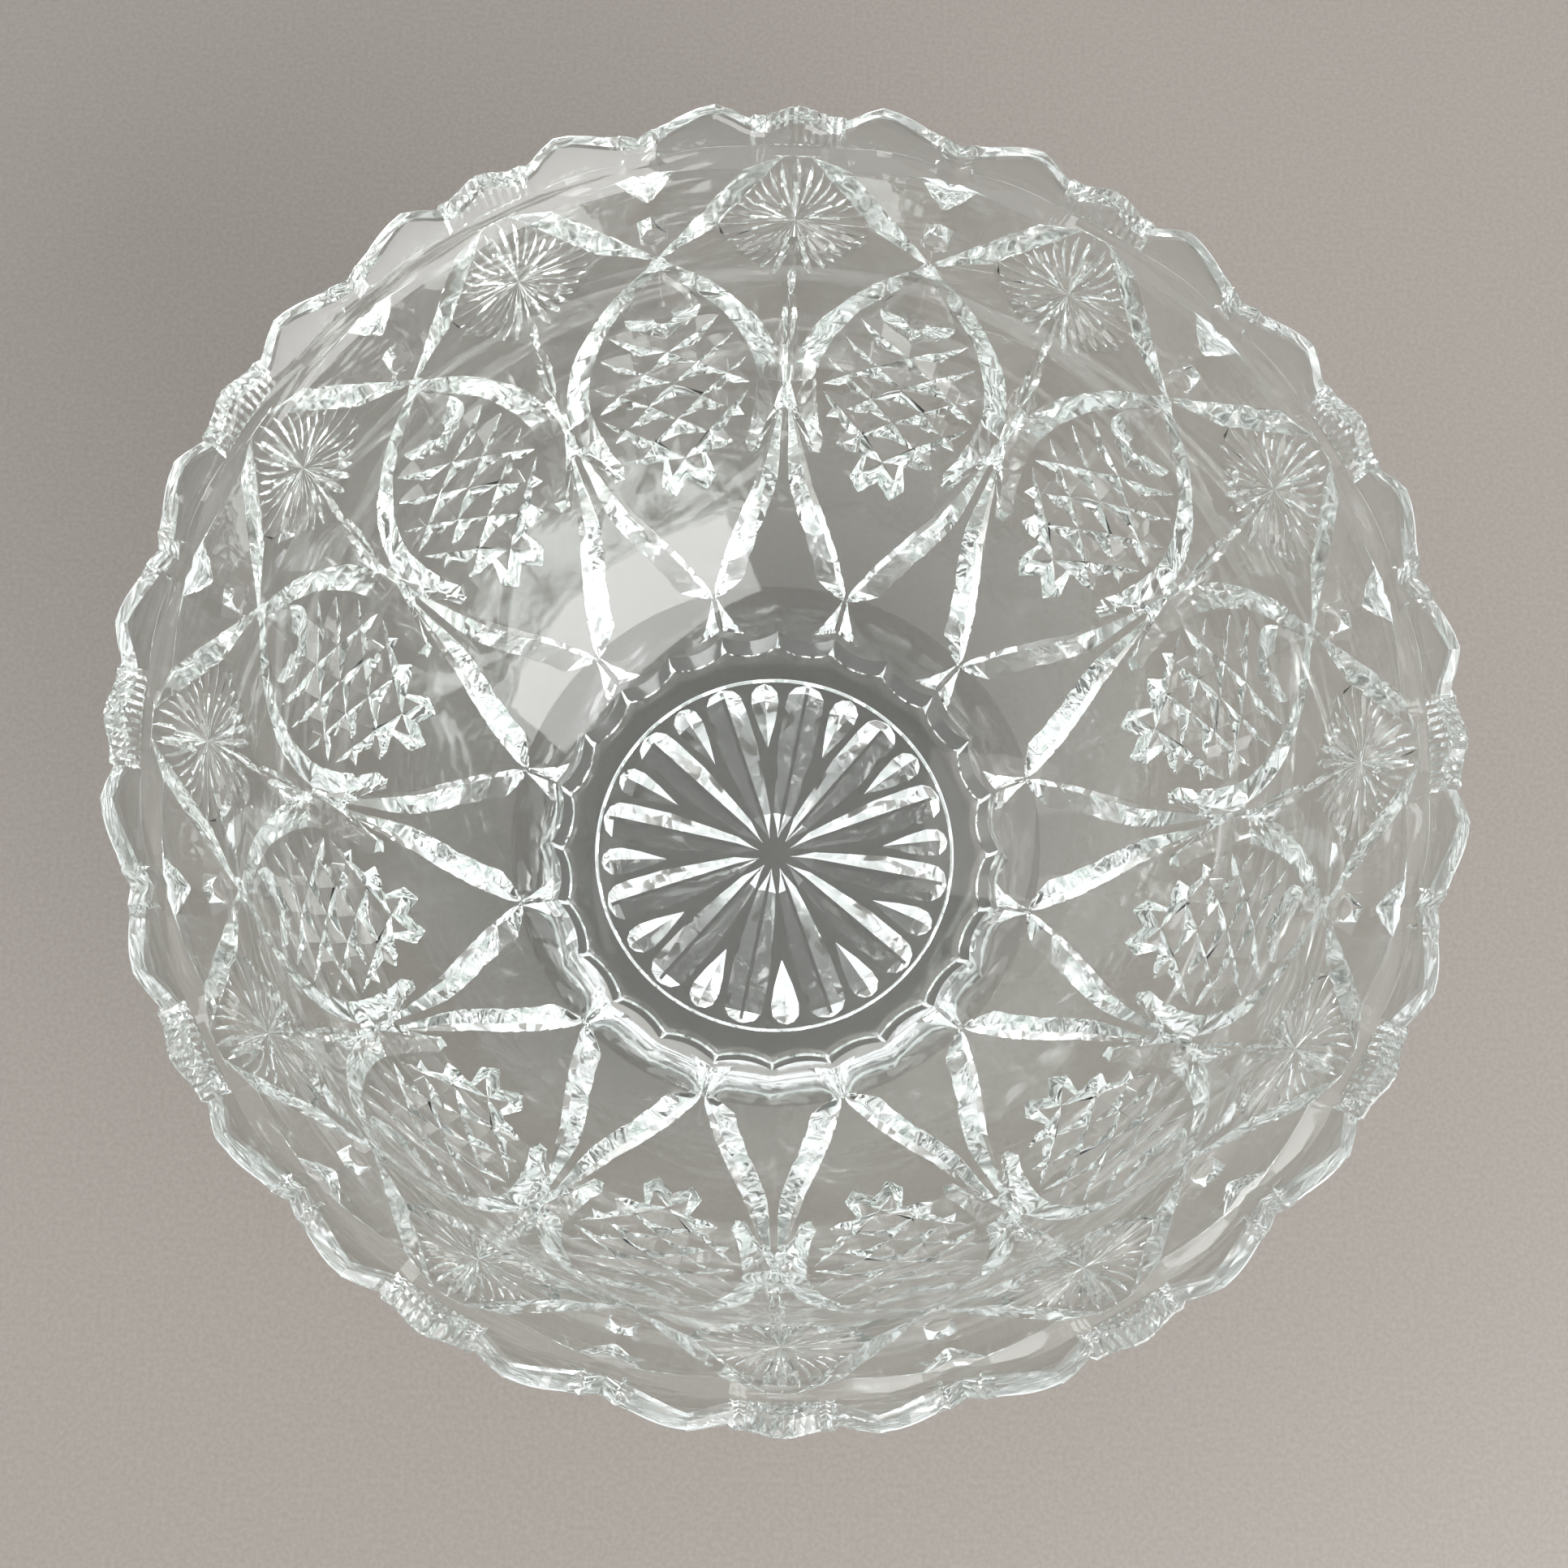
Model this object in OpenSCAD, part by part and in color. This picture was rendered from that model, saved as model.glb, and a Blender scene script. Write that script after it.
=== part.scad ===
// Pressed glass punch bowl: one moulding, drawn as the named regions a glassmaker speaks of.
// Origin at the centre of the face the foot rests on, +Z up, +Y through one of the fan stars.

/* [Bowl] */
// Diameter across opposite peaks of the rim
rim_d = 254; // [240:1:268]
// Height from the foot's resting face to the peaks of the rim
bowl_h = 141; // [136:1:150]
// Diameter of the body where the flare begins
body_d = 226; // [222:1:228]
// Height at which the flare begins
flare_z = 110; // [106:1:114]
// Thickness of the wall between outer and inner faces
wall = 5.5; // [4.5:0.5:6.5]
// Height of the inside at its lowest point
well_z = 10; // [9:0.5:12]

/* [Foot] */
// Diameter across the ridges of the foot
foot_d = 109.4; // [106:0.2:111]
// Diameter of the recess inside the foot
recess_d = 91; // [86:1:94]
// Height of the foot
foot_h = 12; // [10:0.5:16]
// Depth of the recess under the base
recess_h = 2.5; // [1.5:0.5:3.5]
// Depth of each scoop around the foot
scoop_depth = 2; // [1:0.5:3]

/* [Rim] */
// Height of the band that carries the peaks
rim_h = 13.2; // [11:0.2:15]
// Drop from a peak to the notch over an oval
notch_drop = 4.8; // [3:0.2:6]
// Drop from a peak to the small lobe over a star
lobe_drop = 2.8; // [1:0.2:4]
// Angle from a star's axis to the peaks beside it
peak_angle = 7.8; // [7:0.1:8.2]
// Angle from a star's axis to the small notches beside it
nick_angle = 3.5; // [2.5:0.1:4.5]

/* [Pattern] */
// Number of ovals, and of fan stars between them
repeats = 12; // [12:12:12]
// Depth of the thumbprint in each oval
print_depth = 2.4; // [1:0.2:3]
// Depth of the flutes in the base star
star_depth = 3; // [1:0.1:3.4]
// Angle by which the base star is turned from the wall's stars
star_turn = 10.5; // [0:0.5:15]

/* [Hidden] */

$fn = 96;
glass = [0.80, 0.86, 0.84, 0.55];
pitch = 360 / repeats;                // one oval and one star
scoops = 2 * repeats;
foot_r = foot_d / 2;
recess_r = recess_d / 2;
body_r = body_d / 2;
rim_r = rim_d / 2;
rim_z = bowl_h - rim_h;               // where the band of peaks begins
girdle_z = 52;                        // where neighbouring ovals touch
neck_r = foot_r + 1;                  // outer face just above the foot
hip = [63.7, 21.7];                   // outer face where the lower leaves of an oval cross
belly_power = 2.2;                    // roundness of the outer face
belly_drop = 103;                     // how far the round of the belly reaches below the flare
well_power = 2.3;                     // roundness of the inner face
flare_power = 1.3;
print_r = 18;                         // radius of the ball that a thumbprint is ground with
print_z = 85;                         // height of a thumbprint's middle
long_flute = [8, 1.5];                // where a flute that reaches the middle starts, and how wide it opens
short_flute = [27, 1.2];              // the same for the flutes between them
flute_margin = 2;                     // plain glass between the flutes and the edge of the recess
far = 300;                            // longer than anything it cuts

// Radius of the outer face at height z
function outer_r(z) =
    z > flare_z ? body_r + (rim_r - body_r) * pow((z - flare_z) / (bowl_h - flare_z), flare_power)
    : z > hip[1] ? body_r * pow(1 - pow((flare_z - z) / belly_drop, belly_power), 1 / belly_power)
    : neck_r + (hip[0] - neck_r) * (z - foot_h) / (hip[1] - foot_h);

// Radius of the inner face at height z
function inner_r(z) =
    z > flare_z ? outer_r(z) - wall
    : (body_r - wall) * sqrt(1 - pow((flare_z - z) / (flare_z - well_z), well_power));

// Height of the inner face at radius r, below the flare
function inner_z(r) = flare_z - (flare_z - well_z) * pow(1 - pow(r / (body_r - wall), 2), 1 / well_power);

function steps(low, high, count) = [for (i = [0:count]) low + (high - low) * i / count];

// A ring of the bowl between two heights, each face following its curve
module wall_ring(low, high, count) {
    outer = [for (z = steps(low, high, count)) [outer_r(z), z]];
    inner = [for (z = steps(high, low, count)) [inner_r(z), z]];
    rotate_extrude() polygon(concat(outer, inner));
}

// A V flute in the underside of the base: it starts at nothing and reaches full depth at its outer end
module base_flute(flute) {
    start = flute[0];
    spread = flute[1];
    end = recess_r - flute_margin;
    slope = atan(star_depth / (end - start));
    lead_in = 3;                      // how far the keel runs below the face before it enters
    translate([0, start, recess_h]) rotate([90 - slope, 0, 180]) translate([0, 0, -lead_in])
        linear_extrude(height = lead_in + (end - start) / cos(slope))
            polygon([[-5 * spread, -5], [5 * spread, -5], [0, 0]]);
}

// Places a cut on the outer face at an angle from +Y and a height, its +Z pointing out of the glass
module on_wall(angle, z) {
    lean = atan2(outer_r(z + 1) - outer_r(z - 1), 2);
    rotate([0, 0, -angle]) translate([0, outer_r(z), z]) rotate([-90 - lean, 0, 0]) children();
}

// The thumbprint near the top of one oval
module thumbprint(angle) {
    on_wall(angle, print_z) translate([0, 0, print_r - print_depth]) sphere(r = print_r);
}

module foot_ring() {
    scoop_r = (pow(foot_r * sin(180 / scoops), 2) + pow(scoop_depth, 2)) / (2 * scoop_depth);
    color(glass) difference() {
        cylinder(r = foot_r, h = foot_h);
        translate([0, 0, -1]) cylinder(r = recess_r, h = foot_h + 2);
        for (i = [0:scoops - 1])
            rotate([0, 0, (i + 0.5) * 360 / scoops])
                translate([0, foot_r - scoop_depth + scoop_r, -1]) cylinder(r = scoop_r, h = foot_h + 2);
    }
}

module base_plate() {
    inner = [for (z = steps(inner_z(recess_r), well_z, 12)) [inner_r(z), z]];
    color(glass) difference() {
        rotate_extrude() polygon(concat([[0, recess_h], [recess_r, recess_h]], inner));
        for (i = [0:repeats - 1]) rotate([0, 0, -star_turn - i * pitch]) {
            base_flute(long_flute);
            rotate([0, 0, pitch / 2]) base_flute(short_flute);
        }
    }
}

module lower_bowl() {
    outer = concat([[recess_r, foot_h], [neck_r, foot_h]],
        [for (z = steps(hip[1], girdle_z, 10)) [outer_r(z), z]]);
    inner = [for (z = steps(girdle_z, inner_z(recess_r), 12)) [inner_r(z), z]];
    color(glass) rotate_extrude() polygon(concat(outer, inner));
}

module upper_wall() {
    color(glass) difference() {
        wall_ring(girdle_z, rim_z, 16);
        for (i = [0:repeats - 1]) thumbprint((i + 0.5) * pitch);
    }
}

// What is ground away between two peaks: points run from peak to peak, [angle from the middle, drop]
module rim_gap(points) {
    across = [for (p = points) [rim_r * tan(p[0]), bowl_h - p[1]]];
    top = bowl_h + 10;
    rotate([90, 0, 0]) translate([0, 0, -far])
        linear_extrude(height = far) polygon(concat(across, [
            [across[len(across) - 1][0], top], [across[0][0], top]
        ]));
}

module scalloped_rim() {
    side = pitch / 2 - peak_angle;    // from an oval's axis to its peaks
    half = [[side, 0], [side * 0.72, notch_drop * 0.25], [side * 0.3, notch_drop * 0.82]];
    oval_gap = concat([for (p = half) [-p[0], p[1]]], [[0, notch_drop]],
        [for (i = [len(half) - 1:-1:0]) half[i]]);
    star_gap = [
        [-peak_angle, 0], [-nick_angle - 1.6, notch_drop * 0.6], [-nick_angle, notch_drop],
        [-nick_angle * 0.4, lobe_drop * 1.2], [0, lobe_drop], [nick_angle * 0.4, lobe_drop * 1.2],
        [nick_angle, notch_drop], [nick_angle + 1.6, notch_drop * 0.6], [peak_angle, 0]
    ];
    color(glass) difference() {
        wall_ring(rim_z, bowl_h, 4);
        for (i = [0:repeats - 1]) rotate([0, 0, -i * pitch]) {
            rim_gap(star_gap);
            rotate([0, 0, -pitch / 2]) rim_gap(oval_gap);
        }
    }
}

foot_ring();
base_plate();
lower_bowl();
upper_wall();
scalloped_rim();
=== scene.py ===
import bpy
import bmesh
import math
from mathutils import Matrix, Vector


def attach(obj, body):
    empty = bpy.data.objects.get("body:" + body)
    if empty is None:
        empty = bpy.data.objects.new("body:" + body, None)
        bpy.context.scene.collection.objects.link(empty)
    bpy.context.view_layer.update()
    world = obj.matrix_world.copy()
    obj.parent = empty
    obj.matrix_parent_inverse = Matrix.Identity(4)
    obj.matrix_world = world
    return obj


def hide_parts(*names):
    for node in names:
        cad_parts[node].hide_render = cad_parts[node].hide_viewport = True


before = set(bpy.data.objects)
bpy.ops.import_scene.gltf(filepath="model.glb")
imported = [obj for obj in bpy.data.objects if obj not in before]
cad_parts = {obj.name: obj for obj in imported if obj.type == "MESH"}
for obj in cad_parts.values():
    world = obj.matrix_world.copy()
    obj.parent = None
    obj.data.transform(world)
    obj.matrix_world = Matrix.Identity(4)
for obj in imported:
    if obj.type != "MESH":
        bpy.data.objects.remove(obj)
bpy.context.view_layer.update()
mm = 0.001

# where the eye stands, the way it looks and which way is up, in metres
camera = {"spot": (-0.01036, -0.08860, 0.49960), "aim": (0.02460, 0.20991, -0.97741),
          "up": (-0.01831, 0.97764, 0.20950), "lens": 46.58}


def makeCamera():
    data = bpy.data.cameras.new("camera")
    data.lens = camera["lens"]
    data.sensor_width = 36.0
    data.clip_start = 0.01
    seen = bpy.data.objects.new("camera", data)
    back = -Vector(camera["aim"]).normalized()
    right = Vector(camera["up"]).cross(back).normalized()
    turn = Matrix((right, back.cross(right), back)).transposed().to_4x4()
    seen.matrix_world = Matrix.Translation(camera["spot"]) @ turn
    bpy.context.scene.collection.objects.link(seen)
    bpy.context.scene.camera = seen


# the two faces of the bowl, in millimetres; everywhere below, a is an angle in degrees from an oval's axis
# and s is a length up the outer face from the hip
bowl = {"rimR": 127.0, "height": 141.0, "bodyR": 113.0, "flareZ": 110.0, "wall": 5.5, "wellZ": 10.0,
        "hip": (63.7, 21.7), "bellyDrop": 103.0, "bellyPower": 2.2, "wellPower": 2.3, "flarePower": 1.3,
        "recessR": 45.5, "recessZ": 2.5, "repeats": 12, "topS": 139.4}
halfPitch = 180.0 / bowl["repeats"]     # from an oval's axis to the next star's
faceSteps = 200


def outerRadius(z):
    if z > bowl["flareZ"]:
        rise = (z - bowl["flareZ"]) / (bowl["height"] - bowl["flareZ"])
        return bowl["bodyR"] + (bowl["rimR"] - bowl["bodyR"]) * rise ** bowl["flarePower"]
    fall = ((bowl["flareZ"] - z) / bowl["bellyDrop"]) ** bowl["bellyPower"]
    return bowl["bodyR"] * (1 - fall) ** (1 / bowl["bellyPower"])


def innerRadius(z):
    if z > bowl["flareZ"]:
        return outerRadius(z) - bowl["wall"]
    fall = ((bowl["flareZ"] - z) / (bowl["flareZ"] - bowl["wellZ"])) ** bowl["wellPower"]
    return (bowl["bodyR"] - bowl["wall"]) * math.sqrt(max(0.0, 1 - fall))


def innerHeight(r):
    rise = max(0.0, 1 - (r / (bowl["bodyR"] - bowl["wall"])) ** 2) ** (1 / bowl["wellPower"])
    return bowl["flareZ"] - (bowl["flareZ"] - bowl["wellZ"]) * rise


def measureFaces():
    # a list of (s, outer r, outer z, inner r, inner z) from the hip to the peaks
    steps = faceSteps
    heights = [bowl["hip"][1] + (bowl["height"] - bowl["hip"][1]) * i / steps for i in range(steps + 1)]
    points = [Vector((outerRadius(z), z)) for z in heights]
    lengths = [0.0]
    for i in range(steps):
        lengths.append(lengths[-1] + (points[i + 1] - points[i]).length)
    rows = []
    for i, point in enumerate(points):
        along = (points[min(i + 1, steps)] - points[max(i - 1, 0)]).normalized()
        inward = Vector((-along.y, along.x))
        if i == steps:
            inward = Vector((-1.0, 0.0))
        low, high = 0.0, 40.0
        for halving in range(30):
            middle = (low + high) / 2
            probe = point + inward * middle
            within = probe.x < innerRadius(min(max(probe.y, bowl["wellZ"]), bowl["height"]))
            low, high = (low, middle) if within else (middle, high)
        inside = point + inward * low
        inside.y += (point.y - inside.y) * (i / steps) ** 6     # both faces end level at the peaks
        inside.x = innerRadius(inside.y)
        rows.append((lengths[i] * bowl["topS"] / lengths[-1], point.x, point.y, inside.x, inside.y))
    return rows


faces = measureFaces()
foot = {"junctionS": -15.0, "junction": (55.7, 12.0), "junctionDip": (1.8, 2.0), "sideS": -24.0,
        "side": (54.7, 1.0), "sideDip": 2.0, "restS": -25.0, "restR": 53.6, "innerS": -33.0, "innerR": 46.4,
        "recessS": -34.0, "recessLipZ": 0.9, "endS": -36.0, "scoopPitch": 15.0}


def scoop(a):
    # 1 in the middle of a scoop, 0 on the ridges either side
    across = (abs(a) % foot["scoopPitch"]) * 2 / foot["scoopPitch"] - 1
    return 1 - across * across


def footPoint(a, s):
    dip = scoop(a)
    hipR, hipZ = bowl["hip"]
    junctionR, junctionZ = foot["junction"]
    joint = (junctionR - foot["junctionDip"][0] * dip, junctionZ - foot["junctionDip"][1] * dip)
    side = (foot["side"][0] - foot["sideDip"] * dip, foot["side"][1])
    rest = (foot["restR"] - foot["sideDip"] * dip, 0.0)
    stops = [(0.0, (hipR, hipZ)), (foot["junctionS"], joint), (foot["sideS"], side), (foot["restS"], rest),
             (foot["innerS"], (foot["innerR"], 0.0)),
             (foot["recessS"], (bowl["recessR"], foot["recessLipZ"])),
             (foot["endS"], (bowl["recessR"], bowl["recessZ"]))]
    for (s0, p0), (s1, p1) in zip(stops, stops[1:]):
        if s >= s1 - 1e-6:
            t = (s0 - s) / (s0 - s1)
            return p0[0] + (p1[0] - p0[0]) * t, p0[1] + (p1[1] - p0[1]) * t
    return stops[-1][1]


def wallPoint(a, s, depth):
    # where a point of the flat wall lies on the bowl; depth runs from 0 outside to the wall's thickness
    if s < 0:
        outer = footPoint(a, s)
        r = faces[0][3] + (bowl["recessR"] - faces[0][3]) * s / foot["endS"]
        inner = (r, innerHeight(r))
    else:
        i = min(int(s / bowl["topS"] * faceSteps), faceSteps - 1)
        lo, hi = faces[i], faces[i + 1]
        t = min(max((s - lo[0]) / (hi[0] - lo[0]), 0.0), 1.0)
        row = [lo[j] + (hi[j] - lo[j]) * t for j in range(5)]
        outer, inner = (row[1], row[2]), (row[3], row[4])
    t = depth / bowl["wall"]
    r = outer[0] + (inner[0] - outer[0]) * t
    z = outer[1] + (inner[1] - outer[1]) * t
    turn = math.radians(90.0 - halfPitch - a)     # a star's axis stands on +Y
    return Vector((r * math.cos(turn), r * math.sin(turn), z)) * mm


degree = 1.972      # width of one degree on the flat wall


def sweep(bm, sections):
    # a closed tool lofted through sections of equal count, each a list of (x, y, z)
    first = cap = bm.faces.new([bm.verts.new(p) for p in sections[0]])
    for section in sections[1:]:
        made = bmesh.ops.extrude_face_region(bm, geom=[cap])["geom"]
        if cap is not first:
            bmesh.ops.delete(bm, geom=[cap], context="FACES_ONLY")
        cap = [part for part in made if isinstance(part, bmesh.types.BMFace)][0]
        for vert, place in zip(cap.verts, section):
            vert.co = place


def groove(bm, sections, lift=0.4):
    # sections of (left edge, keel, right edge, depth), each point (a, s)
    rows = []
    for left, keel, right, depth in sections:
        wider = 1 + lift / depth
        tops = []
        for edge in (left, right):
            tops.append(((keel[0] + (edge[0] - keel[0]) * wider) * degree,
                         keel[1] + (edge[1] - keel[1]) * wider, lift))
        rows.append([tops[0], (keel[0] * degree, keel[1], -depth), tops[1]])
    sweep(bm, rows)


def level(s, left, keel, right, depth):
    # one section of a groove, straight across the wall at s
    return (left, s), (keel, s), (right, s), depth


# the pattern of half an oval and half a star
rim = {"marks": [(-15.0, 136.7), (-11.6, 134.6), (-7.4, 139.2), (0.0, 134.4), (7.4, 139.2), (11.6, 134.6),
                 (15.0, 136.7), (18.4, 134.6)], "bandS": 125.6, "round": 1.1,
       "peakS": 139.2, "samples": (-1, 0, 1, 2, 3, 4, 5, 6, 7.4, 9, 10, 11, 12, 13, 14, 15, 16)}


def rimHeight(a):
    # notches and small lobes are round, and each peak comes to a blunt point
    for (a0, s0), (a1, s1) in zip(rim["marks"], rim["marks"][1:]):
        if a <= a1:
            t = (a - a0) / (a1 - a0)
            ease = (1 - math.cos(math.pi * t)) / 2
            if s1 == rim["peakS"]:
                ease = (ease + 1 - math.cos(math.pi * t / 2)) / 2
            elif s0 == rim["peakS"]:
                ease = (ease + math.sin(math.pi * t / 2)) / 2
            return s0 + (s1 - s0) * ease
    return rim["marks"][-1][1]


def outlineTool(bm):
    edge = [(a * degree, rimHeight(a)) for a in rim["samples"]]
    edge += [(17 * degree, 160.0), (-2 * degree, 160.0)]
    sweep(bm, [[(x, y, z) for x, y in edge] for z in (2.0, -8.0)])


bevels = {"starDepth": 4.2, "ovalDepth": 3.5, "leafDepth": 3.6, "spikeDepth": 2.4}


def starBevel(bm):
    # the star stands on a raised lozenge: this is the bevel at its upper edge and the panel beyond it
    depth = bevels["starDepth"]
    groove(bm, [level(103.0, -9.0, -1.0, 3.9, depth), level(105.6, -9.0, 0.1, 5.0, depth),
                level(108.9, -0.6, 1.8, 6.5, depth), level(rim["bandS"], -2.9, 9.7, 13.8, depth),
                level(rim["bandS"] + 3.2, -2.6, 9.6, 10.2, 0.1)])


def ovalBevel(bm):
    # the raised rim of the oval, and on its far side the lower bevel of the star's lozenge
    depth = bevels["ovalDepth"]
    rows = [(111.8, -6.5, -2.8, -2.2), (109.3, -6.0, -1.3, 6.3), (105.6, -3.3, 0.1, 6.9),
            (101.4, -1.7, 1.9, 8.3), (97.2, 0.0, 3.6, 10.0), (92.1, 1.6, 5.4, 12.0),
            (83.8, 4.2, 7.9, 13.9), (75.0, 6.8, 10.4, 15.3), (68.6, 8.2, 12.0, 16.2),
            (60.2, 9.9, 13.4, 16.6), (53.4, 10.9, 14.3, 16.6), (47.7, 11.2, 14.5, 16.6),
            (41.0, 10.9, 13.5, 16.0)]
    sections = [level(s, left, keel, right, depth) for s, left, keel, right in rows]
    sections += [level(34.3, 10.2, 12.1, 13.4, 3.2), level(29.7, 9.2, 11.0, 11.8, 2.4),
                 level(26.5, 9.4, 10.2, 10.6, 0.3)]
    groove(bm, sections)


def lowerLeaf(bm):
    # the cut along the lower edge of the oval, pointed where ovals touch and again at the hip
    rows = [(39.9, 14.45, 14.55, 0.05), (35.3, 13.8, 14.55, 0.35), (29.6, 12.96, 14.4, 0.75),
            (23.9, 11.95, 14.3, 1.0), (19.8, 11.1, 14.0, 1.0), (15.7, 9.65, 13.1, 1.0),
            (11.7, 7.9, 11.8, 1.0), (8.9, 6.5, 10.4, 1.0), (5.8, 4.8, 9.1, 1.0), (3.4, 3.3, 7.9, 0.95),
            (1.7, 2.2, 6.8, 0.8), (0.4, 1.2, 4.2, 0.5), (-1.2, 0.35, 0.6, 0.05)]
    groove(bm, [level(s, keel - 0.25 * (right - keel), keel, right, share * bevels["leafDepth"])
                for s, keel, right, share in rows])


def smallLeaves(bm):
    # the slip of a leaf beside the girdle, and one of the two spikes under the hip
    groove(bm, [level(79.8, 14.5, 14.7, 14.9, 0.2), level(71.0, 13.5, 14.8, 15.2, 3.0),
                level(62.0, 13.9, 14.8, 15.2, 2.6), level(55.5, 14.7, 14.85, 15.0, 0.3)])
    depth = bevels["spikeDepth"]
    groove(bm, [level(-1.5, 0.35, 0.5, 0.7, 0.2), level(-5.0, 0.3, 0.6, 1.6, depth * 0.7),
                level(-9.5, 0.3, 0.7, 3.6, depth), level(-12.5, 0.3, 0.7, 6.0, depth)])


hobnail = {"topS": 72.0, "topDepth": 1.7, "deeper": 0.029, "half": 5.56,
           "crossings": (61.4, 50.3, 39.3, 28.0),
           "upperEnds": ((6.6, 72.0), (8.2, 64.2), (9.8, 55.3), (10.1, 44.2)),
           "lowerEnds": ((10.2, 46.6), (9.3, 36.8), (7.3, 29.4), (4.4, 22.4)),
           "taper": ((0.0, 0.02), (0.12, 0.34), (0.26, 0.66), (0.42, 1.0))}


def hobnailGroove(bm, start, middle, end, mirrored):
    # a boat-shaped V groove from end to end through a crossing on the oval's axis, deeper lower down
    stops = []
    for tip in (start, end):
        side = [(tip[0] + (middle[0] - tip[0]) * t, tip[1] + (middle[1] - tip[1]) * t, w)
                for t, w in hobnail["taper"]]
        stops += side if tip is start else [(middle[0], middle[1], 1.0)] + side[::-1]
    sections = []
    for a, s, width in stops:
        half = hobnail["half"] * width
        if mirrored:
            a = -a
        depth = hobnail["topDepth"] + hobnail["deeper"] * (hobnail["topS"] - s)
        sections.append(((a, s + half), (a, s), (a, s - half), depth * width))
    groove(bm, sections)


def hobnails(bm):
    for crossing, upper, lower in zip(hobnail["crossings"], hobnail["upperEnds"], hobnail["lowerEnds"]):
        for mirrored in (False, True):
            hobnailGroove(bm, (-lower[0], lower[1]), (0.0, crossing), upper, mirrored)


thumb = {"s": 77.5, "half": 4.5, "below": 10.0, "above": 20.5, "depth": 4.0, "floor": 0.25, "lift": 0.5,
         "tipSlim": 0.9, "tipCurve": 1.4, "heel": 0.16}


def thumbprint(bm):
    # a hollow with a small flat floor, drawn out to a point at the top of the oval and a blunt heel below
    grow = 1 + thumb["lift"] * (1 - thumb["floor"]) / thumb["depth"]
    made = bmesh.ops.create_cone(bm, cap_ends=True, segments=36, radius1=thumb["floor"], radius2=grow,
                                 depth=thumb["depth"] + thumb["lift"])["verts"]
    for vert in made:
        x, y, z = vert.co
        reach = thumb["above"] if y > 0 else thumb["below"]
        slim = 1 - thumb["tipSlim"] * min(max(y * 0.87, 0.0), 1.0) ** thumb["tipCurve"]
        pinch = 1 - thumb["heel"] * max(0.0, 1 - abs(x) * 3) * max(-y, 0.0)
        vert.co = (x * thumb["half"] * degree * slim, thumb["s"] + y * reach / pinch,
                   z + (thumb["lift"] - thumb["depth"]) / 2)


def kite(bm):
    # the fan that runs up to the notch over the oval
    groove(bm, [level(118.7, -1.0, 0.0, 1.0, 0.9), level(rim["bandS"], -5.6, 0.0, 5.6, 4.1)])
    groove(bm, [level(rim["bandS"] - 0.4, -2.9, 0.0, 2.9, 2.0), level(129.4, -1.8, 0.0, 1.8, 2.0),
                level(134.5, -3.2, 0.0, 3.2, 2.6), level(141.0, -5.2, 0.0, 5.2, 2.8)])


ribs = {"pitch": 0.8, "depth": 0.5, "count": 6, "fromS": 128.4, "toS": 142.0}


def bandCuts(bm):
    # the line under the rim's band, and the fine ribs of the small lobe over a star
    groove(bm, [((a, rim["bandS"] + 2.1), (a, rim["bandS"] + 0.9), (a, rim["bandS"] - 0.1), 0.7)
                for a in (9.4, 16.0)])
    half = ribs["pitch"] / 2
    for i in range(ribs["count"]):
        a = halfPitch - ribs["pitch"] * i + half
        groove(bm, [level(s, a - half, a, a + half, ribs["depth"]) for s in (ribs["fromS"], ribs["toS"])])


star = {"centre": (15.0, 109.9), "rays": 32, "depth": 0.8, "width": 0.97,
        "reach": ((0, 15.6), (12, 14.8), (24, 13.3), (44, 11.9), (64, 12.7), (78, 14.3), (93, 16.4),
                  (107, 15.9), (123, 14.6), (141, 15.4), (158, 19.0), (169, 21.0), (180, 31.0)),
        "shape": ((0.0, 0.05), (0.35, 0.55), (0.68, 1.0), (0.88, 0.72), (1.0, 0.04))}


def rayLength(bearing):
    for (b0, l0), (b1, l1) in zip(star["reach"], star["reach"][1:]):
        if bearing <= b1:
            return l0 + (l1 - l0) * (bearing - b0) / (b1 - b0)
    return star["reach"][-1][1]


def fanStar(bm):
    # leaf-shaped rays from one centre; only the half on this side of the star is cut
    for i in range(star["rays"] // 2 + 1):
        bearing = i * 360.0 / star["rays"]
        length = rayLength(min(bearing, 179.9)) if i * 2 != star["rays"] else star["reach"][-1][1]
        dx, dy = -math.sin(math.radians(bearing)), math.cos(math.radians(bearing))
        rows = []
        for t, wide in star["shape"]:
            x = star["centre"][0] * degree + dx * length * t
            y = star["centre"][1] + dy * length * t
            half = star["width"] * wide
            depth = max(star["depth"] * wide, 0.05)
            rows.append((((x + dy * half) / degree, y - dx * half), (x / degree, y),
                         ((x - dy * half) / degree, y + dx * half), depth))
        groove(bm, rows, 0.25)


def holdMesh(mesh, name):
    held = bpy.data.objects.new(name, mesh)
    bpy.context.scene.collection.objects.link(held)
    return held


def finishTool(bm, name):
    bmesh.ops.recalc_face_normals(bm, faces=bm.faces)
    mesh = bpy.data.meshes.new(name)
    bm.to_mesh(mesh)
    bm.free()
    return holdMesh(mesh, name)


def carve(block, tool):
    # the block with the tool's shape taken away, as a fresh mesh
    cut = block.modifiers.new("cut", "BOOLEAN")
    cut.operation = "DIFFERENCE"
    cut.solver = "EXACT"
    cut.use_self = True
    cut.object = tool
    done = bpy.data.meshes.new_from_object(block.evaluated_get(bpy.context.evaluated_depsgraph_get()))
    for spent in (block, tool):
        bpy.data.objects.remove(spent)
    return done


slices = {"across": 1.5, "up": 5.0, "bandUp": 2.2, "blockTop": 150.0,
          "footUp": (-34.0, -33.0, -25.0, -24.0, -19.5, -15.0, -10.0, -5.0, 0.0)}


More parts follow.
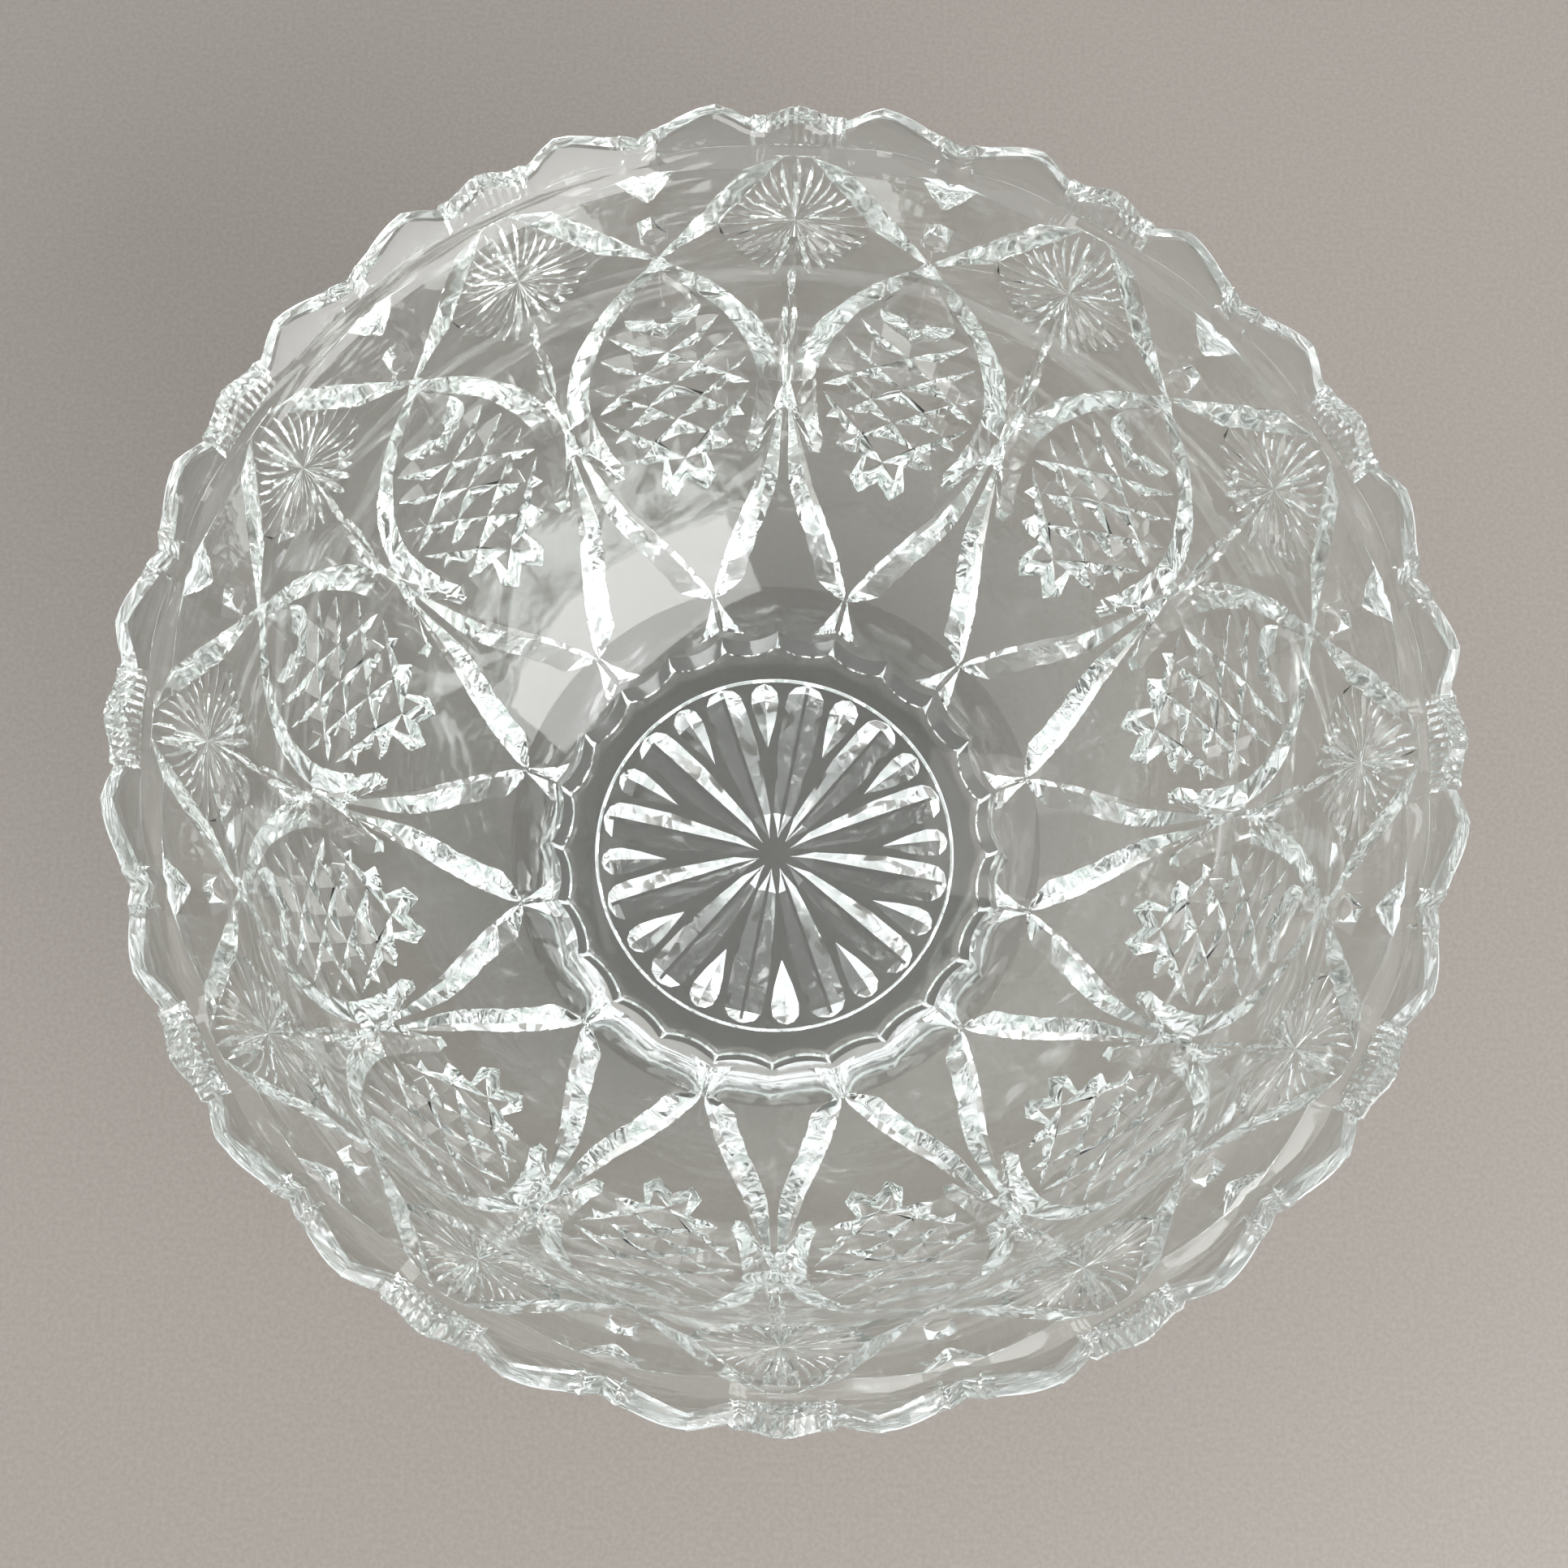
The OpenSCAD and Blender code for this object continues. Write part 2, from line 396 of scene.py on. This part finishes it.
def flatHalf():
    # a flat block of wall, 15 degrees wide, with everything cut in its outer face at z = 0
    bm = bmesh.new()
    bmesh.ops.create_cube(bm, size=1.0)
    for vert in bm.verts:
        vert.co = ((vert.co.x + 0.5) * halfPitch * degree,
                   (vert.co.y + 0.5) * (slices["blockTop"] - foot["endS"]) + foot["endS"],
                   (vert.co.z - 0.5) * bowl["wall"])
    block = finishTool(bm, "block")
    bm = bmesh.new()
    outlineTool(bm)
    mesh = carve(block, finishTool(bm, "outline"))
    bm = bmesh.new()
    bm.from_mesh(mesh)
    tops = [f for f in bm.faces if f.normal.y > 0.3]
    lips = list(dict.fromkeys(e for f in tops for e in f.edges
                              if any(abs(g.normal.z) > 0.9 for g in e.link_faces)))
    bmesh.ops.bevel(bm, geom=lips, offset=rim["round"], offset_type="OFFSET", segments=2, profile=0.5,
                    affect="EDGES", material=-1)
    bm.to_mesh(mesh)
    bm.free()
    block = holdMesh(mesh, "block")
    bm = bmesh.new()
    for cut in (starBevel, ovalBevel, lowerLeaf, smallLeaves, hobnails, thumbprint, kite, bandCuts,
                fanStar):
        cut(bm)
    bmesh.ops.translate(bm, verts=bm.verts, vec=(0.0007, 0.0003, 0.0))    # keeps keels off the block's sides
    return carve(block, finishTool(bm, "pattern"))


def sliceAt(bm, faces, place, normal):
    corners = dict.fromkeys(v for f in faces for v in f.verts)
    edges = dict.fromkeys(e for f in faces for e in f.edges)
    bmesh.ops.bisect_plane(bm, geom=[*corners, *edges, *faces], dist=1e-4, plane_co=place, plane_no=normal)


def sliceFlat(bm):
    # straight cuts that let the flat wall bend smoothly
    levels = list(slices["footUp"]) + [slices["up"] * i for i in range(1, 26)]
    levels += [rim["bandS"] + 0.1 + slices["bandUp"] * i for i in range(0, 6)]
    for s in levels:
        sliceAt(bm, bm.faces, (0, s, 0), (0, 1, 0))
    for i in range(1, 10):
        a = i * slices["across"]
        chosen = bm.faces if i % 2 else [f for f in bm.faces if f.calc_center_median().y < 0
                                              or f.calc_center_median().y > rim["bandS"]]
        sliceAt(bm, list(chosen), (a * degree, 0, 0), (1, 0, 0))


lobe = {"middleA": 6.2, "halfWidth": 4.4, "middleUp": 5.0, "halfHeight": 8.0, "sideFall": 0.825,
        "upFall": 1.5, "most": 2.0}
crease = {"above": 0.2, "height": 14.0, "step": 0.35, "steepness": 6.0, "taper": 1.1}


def puff(a, s):
    # how far the surface of a large lobe falls away from its plump middle
    across = (abs(a) - lobe["middleA"]) / lobe["halfWidth"]
    if s < rim["bandS"] + 0.05 or abs(across) >= 1:
        return 0.0
    up = (s - rim["bandS"] - lobe["middleUp"]) / lobe["halfHeight"]
    return min(lobe["sideFall"] * across ** 2 + lobe["upFall"] * up ** 2, lobe["most"])


def thinning(s):
    # the wall is thinner over the crease that runs round inside the rim
    up = s - rim["bandS"]
    if up <= crease["above"]:
        return 0.0
    rise = up / crease["height"]
    return crease["step"] * min(1.0, rise * crease["steepness"]) + crease["taper"] * rise ** 2


def bendWall(bm):
    for vert in bm.verts:
        a, s, depth = vert.co.x / degree, vert.co.y, -vert.co.z
        share = depth / bowl["wall"]
        depth += puff(a, s) * (1 - share) - thinning(s) * share
        vert.co = wallPoint(a, s, depth)


onEdge = 1e-3       # millimetres; how near a face must be to the cut end of a sector to lie on it


def dropFaces(bm, test):
    bmesh.ops.delete(bm, geom=[f for f in bm.faces if all(test(v.co) for v in f.verts)], context="FACES")


mergeWithin = 2e-6      # metres


def repeatAround(bm, turns):
    # copies of one sector all the way round, joined where they meet
    bmesh.ops.spin(bm, geom=[*bm.verts, *bm.edges, *bm.faces], cent=(0, 0, 0), axis=(0, 0, 1),
                   dvec=(0, 0, 0), angle=math.radians(360.0 * (turns - 1) / turns), steps=turns - 1,
                   use_duplicate=True)
    bmesh.ops.remove_doubles(bm, verts=bm.verts, dist=mergeWithin)


def makeWall(bm):
    bm.from_mesh(flatHalf())
    sliceFlat(bm)
    side, end = halfPitch * degree - onEdge, foot["endS"] + onEdge
    for test in (lambda p: p.x < onEdge, lambda p: p.x > side, lambda p: p.y < end):
        dropFaces(bm, test)
    bmesh.ops.mirror(bm, geom=[*bm.verts, *bm.edges, *bm.faces], axis="X", merge_dist=onEdge)
    bendWall(bm)
    repeatAround(bm, bowl["repeats"])
    print("wall:", len(bm.faces), "faces")


# the star under the base, in millimetres; each flute is (distance from the middle, half width)
baseStar = {"turn": 10.5, "depth": 3.2, "keel": 0.45, "shortKeel": 0.02, "wedges": 10,
            "rings": (0.0, 5.0, 11.0, 18.0, 25.0, 32.0, 38.0, 42.0, 45.5),
            "long": ((4.0, 0.05), (10.0, 2.3), (17.0, 3.3), (28.0, 4.7), (38.0, 4.9), (41.5, 4.6),
                     (43.6, 3.2), (44.6, 0.6)),
            "short": ((27.5, 0.05), (34.0, 2.3), (39.0, 3.5), (42.0, 3.3), (43.7, 1.9), (44.3, 0.3))}


def flute(bm, stops, bearing, keel):
    # a pointed trough cut up into the underside, with a narrow floor if keel is over nothing
    turn = Matrix.Rotation(math.radians(bearing), 4, "Z")
    widest = max(half for r, half in stops)
    lift = 0.5      # how far the tool stands out of the glass
    sections = []
    for r, half in stops:
        depth = max(baseStar["depth"] * half / widest, 0.04)
        floor = min(keel, half * 0.4)
        reach = floor + (half - floor) * (1 + lift / depth)
        row = [(-reach, -lift), (-floor, depth), (floor, depth), (reach, -lift)]
        sections.append([turn @ Vector((x, r, bowl["recessZ"] + z)) for x, z in row])
    sweep(bm, sections)


def makeBase(bm):
    # half of one flute and half of the next, mirrored and repeated round the middle
    sections = []
    for i in range(baseStar["wedges"] + 1):
        turn = Matrix.Rotation(math.radians(i * halfPitch / baseStar["wedges"]), 4, "Z")
        row = [(r, bowl["recessZ"]) for r in (0.0, bowl["recessR"])]
        row += [(r, innerHeight(r)) for r in reversed(baseStar["rings"])]
        sections.append([turn @ Vector((0.0, r, z)) for r, z in row])
    block = bmesh.new()
    sweep(block, sections)
    bmesh.ops.remove_doubles(block, verts=block.verts, dist=1e-4)
    tool = bmesh.new()
    flute(tool, baseStar["long"], 0.0, baseStar["keel"])
    flute(tool, baseStar["short"], halfPitch, baseStar["shortKeel"])
    bm.from_mesh(carve(finishTool(block, "baseBlock"), finishTool(tool, "flutes")))
    edge = math.radians(halfPitch)
    across = Vector((math.cos(edge), math.sin(edge), 0.0))
    for test in (lambda p: abs(p.x) < onEdge, lambda p: abs(p.dot(across)) < onEdge,
                 lambda p: p.xy.length > bowl["recessR"] - onEdge):
        dropFaces(bm, test)
    bmesh.ops.mirror(bm, geom=[*bm.verts, *bm.edges, *bm.faces], axis="X", merge_dist=onEdge)
    turn = Matrix.Rotation(math.radians(-baseStar["turn"]), 4, "Z")
    bmesh.ops.transform(bm, verts=bm.verts, matrix=turn @ Matrix.Scale(mm, 4))
    repeatAround(bm, bowl["repeats"])
    print("base:", len(bm.faces), "faces")


def makeBowl():
    wall, base = bmesh.new(), bmesh.new()
    makeWall(wall)
    makeBase(base)
    part = bpy.data.meshes.new("basePart")
    base.to_mesh(part)
    wall.from_mesh(part)
    bmesh.ops.remove_doubles(wall, verts=wall.verts, dist=mergeWithin)
    bmesh.ops.recalc_face_normals(wall, faces=wall.faces)
    mesh = bpy.data.meshes.new("bowlGlass")
    wall.to_mesh(mesh)
    print("bowl: open edges", sum(1 for e in wall.edges if len(e.link_faces) != 2), "triangles",
          sum(len(f.verts) - 2 for f in wall.faces))
    mesh.shade_smooth()
    mesh.set_sharp_from_angle(angle=math.radians(8.0))
    return holdMesh(mesh, "bowlGlass")


bowlGlass = makeBowl()
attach(bowlGlass, "root")
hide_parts("foot_ring", "base_plate", "lower_bowl", "upper_wall", "scalloped_rim")


class Wire:
    # an output socket that can be written into plain sums
    def __init__(self, nodes, socket):
        self.nodes, self.socket = nodes, socket

    def sum(self, operation, other, clamp=False):
        settings = {"operation": operation, "use_clamp": clamp}
        return self.nodes.add("ShaderNodeMath", settings, {0: self, 1: other})[0]

    def __add__(self, other):
        return self.sum("ADD", other)

    def __mul__(self, other):
        return self.sum("MULTIPLY", other)

    def clamp(self):
        return self.sum("ADD", 0.0, True)


class Nodes:
    # the nodes of one material
    def __init__(self, name):
        self.material = bpy.data.materials.new(name)
        self.material.use_nodes = True
        self.tree = self.material.node_tree
        self.tree.nodes.clear()

    def add(self, kind, settings=None, values=None):
        node = self.tree.nodes.new(kind)
        for key, value in (settings or {}).items():
            if key == "stops":
                ramp = node.color_ramp
                while len(ramp.elements) < len(value):
                    ramp.elements.new(0.5)
                for element, (place, shade) in zip(ramp.elements, value):
                    element.position = place
                    element.color = shade
            else:
                setattr(node, key, value)
        for key, value in (values or {}).items():
            socket = node.inputs[key]
            if isinstance(value, Wire):
                self.tree.links.new(value.socket, socket)
            else:
                socket.default_value = value
        return [Wire(self, out) for out in node.outputs]


glassLook = {"tint": (0.825, 0.86, 0.84, 1.0), "ior": 1.5, "unevenGloss": 0.08,
             "rippleScale": 70.0, "fineScale": 420.0, "fineShare": 0.12, "ripple": 0.2,
             "rippleDepth": 0.0002}


def pressedGlass():
    look = glassLook
    nodes = Nodes("pressedGlass")
    place = nodes.add("ShaderNodeTexCoord")[3]
    wave = nodes.add("ShaderNodeTexNoise", None, {"Vector": place, "Scale": look["rippleScale"],
                                                  "Detail": 1.5, "Roughness": 0.4})[0]
    fine = nodes.add("ShaderNodeTexNoise", None, {"Vector": place, "Scale": look["fineScale"],
                                                  "Detail": 2.0})[0]
    height = wave + fine * look["fineShare"]
    bump = nodes.add("ShaderNodeBump", None, {"Height": height, "Strength": look["ripple"],
                                              "Distance": look["rippleDepth"]})[0]
    shine = nodes.add("ShaderNodeTexNoise", None, {"Vector": place, "Scale": 60.0, "Detail": 5.0})[0]
    shader = nodes.add("ShaderNodeBsdfPrincipled", None, {
        "Base Color": look["tint"], "Roughness": (shine * look["unevenGloss"]).clamp(),
        "IOR": look["ior"], "Transmission Weight": 1.0, "Normal": bump})[0]
    nodes.add("ShaderNodeOutputMaterial", None, {"Surface": shader})
    return nodes.material


bowlGlass.data.materials.append(pressedGlass())
print("glass coloured")

table = {"size": 6.0, "z": -0.0003, "low": (0.186, 0.164, 0.145, 1.0), "high": (0.215, 0.198, 0.176, 1.0),
         "speckScale": 900.0, "roughness": 0.5}


def tableTop():
    nodes = Nodes("tableTop")
    place = nodes.add("ShaderNodeTexCoord")[3]
    speck = nodes.add("ShaderNodeTexNoise", None, {"Vector": place, "Scale": table["speckScale"],
                                                   "Detail": 3.0})[0]
    stops = [(0.3, table["low"]), (0.7, table["high"])]
    colour = nodes.add("ShaderNodeValToRGB", {"stops": stops}, {"Fac": speck})[0]
    shader = nodes.add("ShaderNodeBsdfPrincipled", None, {"Base Color": colour,
                                                          "Roughness": table["roughness"]})[0]
    nodes.add("ShaderNodeOutputMaterial", None, {"Surface": shader})
    return nodes.material


def makeTable():
    bm = bmesh.new()
    bmesh.ops.create_grid(bm, x_segments=1, y_segments=1, size=table["size"] / 2)
    mesh = bpy.data.meshes.new("tableTop")
    bm.to_mesh(mesh)
    floor = holdMesh(mesh, "tableTop")
    floor.location.z = table["z"]
    mesh.materials.append(tableTop())
    print("table laid")


makeTable()

lights = {"sky": (1.0, 1.0, 1.02), "skyStrength": 1.2,
          "window": {"spot": (-1.6, 0.3, 2.0), "size": 1.2, "power": 7.0, "shade": (1.0, 0.95, 0.93)},
          "lamp": {"spot": (1.1, -1.1, 0.8), "size": 1.8, "power": 62.0, "shade": (1.0, 1.0, 1.0)}}


def makeLights():
    world = bpy.data.worlds.new("studio")
    world.use_nodes = True
    back = world.node_tree.nodes["Background"]
    back.inputs["Color"].default_value = (*lights["sky"], 1.0)
    back.inputs["Strength"].default_value = lights["skyStrength"]
    bpy.context.scene.world = world
    for name in ("window", "lamp"):
        soft = lights[name]
        data = bpy.data.lights.new(name, "AREA")
        data.shape = "SQUARE"
        data.size = soft["size"]
        data.energy = soft["power"]
        data.color = soft["shade"]
        lamp = bpy.data.objects.new(name, data)
        lamp.location = soft["spot"]
        lamp.rotation_euler = (-Vector(soft["spot"])).to_track_quat("-Z", "Y").to_euler()
        bpy.context.scene.collection.objects.link(lamp)


makeLights()
makeCamera()
print("lights and camera set")
scene = bpy.context.scene
scene.view_settings.view_transform = "Standard"
scene.cycles.max_bounces = 28          # light runs a long way inside thick glass
scene.cycles.glossy_bounces = 20
scene.cycles.transmission_bounces = 24
bpy.context.view_layer.update()
